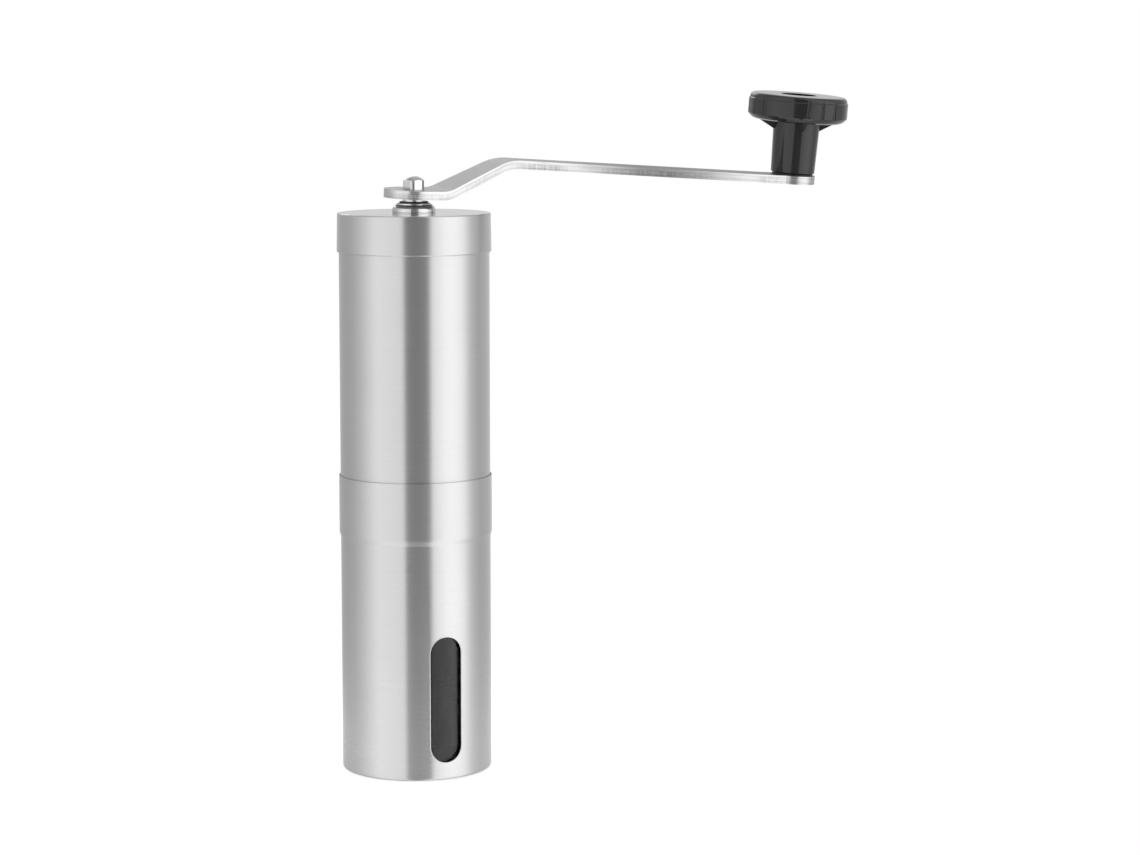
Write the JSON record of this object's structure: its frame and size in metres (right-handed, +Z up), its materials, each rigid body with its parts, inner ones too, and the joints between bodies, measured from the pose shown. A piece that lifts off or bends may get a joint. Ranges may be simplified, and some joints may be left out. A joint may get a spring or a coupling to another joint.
{
  "type": "hand crank coffee grinder",
  "caption": "Slim upright steel hand grinder: windowed grounds cup, hopper tube, lid, cranked arm and fluted knob.",
  "frame": {"origin": "centre of the cup's flat base, on the axis of the body", "axes": "+Z up along the body's axis; +X along the crank arm at rest, towards the knob; the window faces -Y"},
  "size_m": [0.1844, 0.0502, 0.2211],
  "materials": {
    "satin_steel": "satin, brushed round the body",
    "polished_steel": "polished",
    "plated_steel": "matte plated faces, brighter sheared edges",
    "gloss_black": "gloss",
    "black_plastic": "matte",
    "black_nylon": "matte",
    "white_nylon": "matte",
    "white_ceramic": "matte fired",
    "smoky_plastic": "clear smoky",
    "insert_brass": "turned"
  },
  "bodies": {
    "cup": {"grounds_cup": "satin_steel", "window_pane": "smoky_plastic"},
    "stage": {"hopper_tube": "satin_steel", "burr_housing": "black_plastic", "bridge_bush": "white_nylon", "outer_burr": "white_ceramic", "burr_retainer": "black_plastic"},
    "lid": {"lid_cap": "satin_steel", "lid_ferrule": "polished_steel", "lid_bush": "black_nylon", "lid_collar": "polished_steel", "lid_liner": "black_plastic"},
    "drive": {"shaft": "polished_steel", "shaft_clip": "polished_steel", "spring_washer": "polished_steel", "spring": "polished_steel"},
    "burr": {"inner_burr": "white_ceramic", "burr_core": "black_plastic", "click_plate": "polished_steel"},
    "wheel": {"adjuster_wheel": "black_plastic", "adjuster_insert": "insert_brass"},
    "crank": {"crank_arm": "plated_steel", "knob_pin": "polished_steel", "pin_washer": "black_nylon"},
    "knob": {"knob": "gloss_black"}
  },
  "joints": [
    {"name": "stage_lift", "type": "slide", "parent": "cup", "child": "stage", "axis": [0, 0, 1], "range_m": [0, 0.04]},
    {"name": "lid_lift", "type": "slide", "parent": "stage", "child": "lid", "axis": [0, 0, 1], "range_m": [0, 0.03]},
    {"name": "shaft_spin", "type": "hinge", "parent": "stage", "child": "drive", "pos_m": [0, 0, 0.11], "axis": [0, 0, 1], "continuous": true},
    {"name": "crank_lift", "type": "slide", "parent": "drive", "child": "crank", "axis": [0, 0, 1], "range_m": [0, 0.03]},
    {"name": "knob_spin", "type": "hinge", "parent": "crank", "child": "knob", "pos_m": [0.1416, -0.00104, 0.20241], "axis": [0.047, -0.0744, 0.9961], "continuous": true},
    {"name": "adjuster_turn", "type": "hinge", "parent": "burr", "child": "wheel", "pos_m": [0, 0, 0.079], "axis": [0, 0, -1], "range_deg": [0, 540]},
    {"name": "burr_travel", "type": "slide", "parent": "drive", "child": "burr", "axis": [0, 0, -1], "range_m": [0, 0.0015], "deforming": ["spring"]}
  ],
  "couplings": [
    {"joint": "crank_lift", "follows": "lid_lift", "ratio": 1},
    {"joint": "burr_travel", "follows": "adjuster_turn", "m_per_rad": 0.000159}
  ]
}
